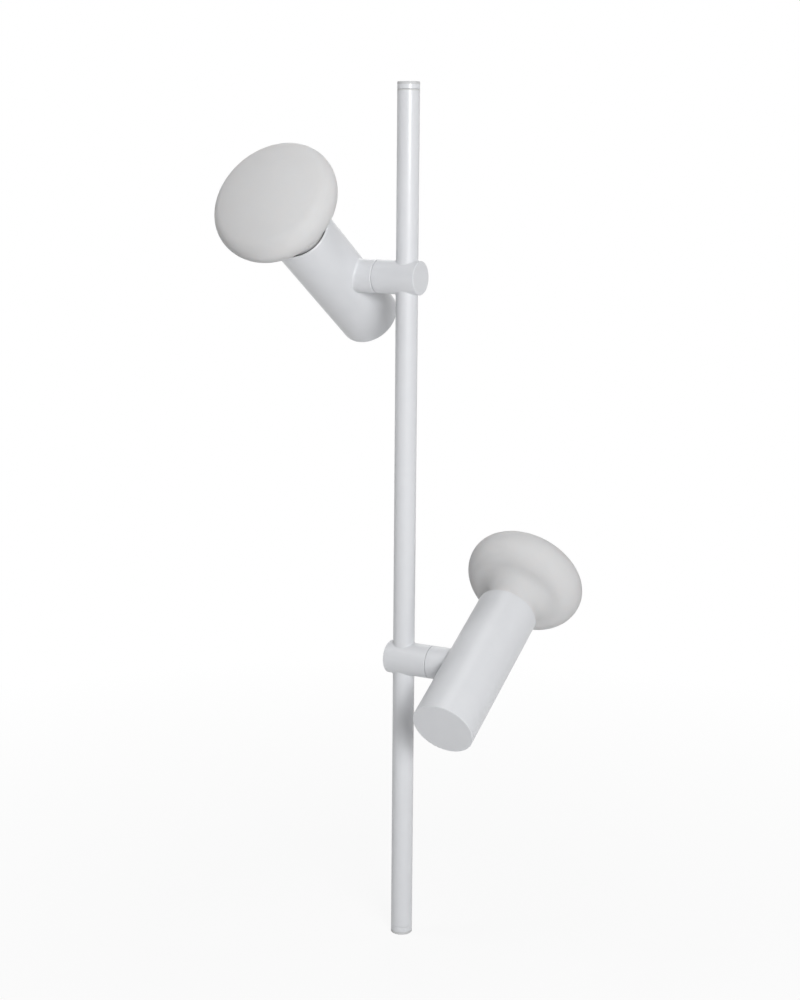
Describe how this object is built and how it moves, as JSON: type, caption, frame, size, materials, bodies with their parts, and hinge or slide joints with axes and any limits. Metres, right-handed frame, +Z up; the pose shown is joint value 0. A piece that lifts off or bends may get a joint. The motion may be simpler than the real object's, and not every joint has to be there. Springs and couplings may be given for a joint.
{
  "type": "tension_pole_lamp",
  "caption": "Floor-to-ceiling tension pole lamp: slim pole with short side arms on opposite sides, each with a tilting tubular head that ends in an opal glass mushroom.",
  "frame": {"origin": "centre of the rubber foot's face, on the floor, on the pole's axis", "axes": "+Z up the pole; +X from the pole along the lower arm (the upper arm points along -X); the lower head leans towards +Y at rest, the upper head towards -Y"},
  "size_m": [0.328, 0.3508, 0.99],
  "materials": {
    "steel_painted": "satin",
    "alu_painted": "satin",
    "steel_plain": "satin",
    "spring_steel": "satin",
    "alu_plain": "matte",
    "rubber": "matte",
    "foam_rubber": "matte",
    "silicone": "matte",
    "nylon": "matte",
    "driver_plastic": "matte",
    "board": "matte",
    "phosphor": "matte",
    "opal_glass": "satin"
  },
  "bodies": {
    "pole": {"pole_tube": "steel_painted", "foot_nut": "steel_plain", "cord_grommet": "rubber", "spring_seat": "steel_plain", "seat_rivet": "steel_painted", "tension_spring": "spring_steel", "plunger_guide": "nylon", "lower_arm": "steel_painted", "lower_pivot": "steel_plain", "lower_thrust_washer": "steel_plain", "lower_disc_spring": "spring_steel", "lower_pivot_nut": "steel_plain", "lower_seam_washer": "nylon", "lower_stop_pin": "steel_plain", "upper_arm": "steel_painted", "upper_pivot": "steel_plain", "upper_thrust_washer": "steel_plain", "upper_disc_spring": "spring_steel", "upper_pivot_nut": "steel_plain", "upper_seam_washer": "nylon", "upper_stop_pin": "steel_plain"},
    "foot_pad": {"foot_pad": "rubber"},
    "foot_screw": {"levelling_foot": "steel_painted"},
    "plunger": {"ceiling_plunger": "steel_painted", "ceiling_pad": "rubber", "plunger_collar": "steel_plain", "collar_screw": "steel_plain"},
    "lower_head": {"lower_head_stub": "alu_painted", "lower_head_shell": "alu_painted", "lower_driver_pad": "foam_rubber", "lower_driver": "driver_plastic", "lower_heat_sink": "alu_plain", "lower_snap_rings": "spring_steel", "lower_led_board": "board", "lower_led_emitter": "phosphor", "lower_board_screws": "steel_plain", "lower_gasket": "silicone", "lower_diffuser": "opal_glass"},
    "upper_head": {"upper_head_stub": "alu_painted", "upper_head_shell": "alu_painted", "upper_driver_pad": "foam_rubber", "upper_driver": "driver_plastic", "upper_heat_sink": "alu_plain", "upper_snap_rings": "spring_steel", "upper_led_board": "board", "upper_led_emitter": "phosphor", "upper_board_screws": "steel_plain", "upper_gasket": "silicone", "upper_diffuser": "opal_glass"}
  },
  "joints": [
    {"name": "lower_tilt", "type": "hinge", "parent": "pole", "child": "lower_head", "pos_m": [0.093, 0, 0.3375], "axis": [-1, 0, 0], "range_deg": [-224.5, 105.5]},
    {"name": "upper_tilt", "type": "hinge", "parent": "pole", "child": "upper_head", "pos_m": [-0.093, 0, 0.7765], "axis": [1, 0, 0], "range_deg": [-221.5, 108.5]},
    {"name": "foot_travel", "type": "slide", "parent": "pole", "child": "foot_pad", "axis": [0, 0, -1], "range_m": [0, 0.014]},
    {"name": "foot_turn", "type": "hinge", "parent": "foot_pad", "child": "foot_screw", "pos_m": [0, 0, 0.01], "axis": [0, 0, -1], "range_deg": [0, 2880]},
    {"name": "plunger_slide", "type": "slide", "parent": "pole", "child": "plunger", "axis": [0, 0, 1], "range_m": [0, 0.025], "stiffness_N_per_m": 4000, "springref_m": 0.041, "deforming": ["tension_spring"]}
  ],
  "couplings": [
    {"joint": "foot_turn", "follows": "foot_travel", "rad_per_m": 3590.4}
  ]
}
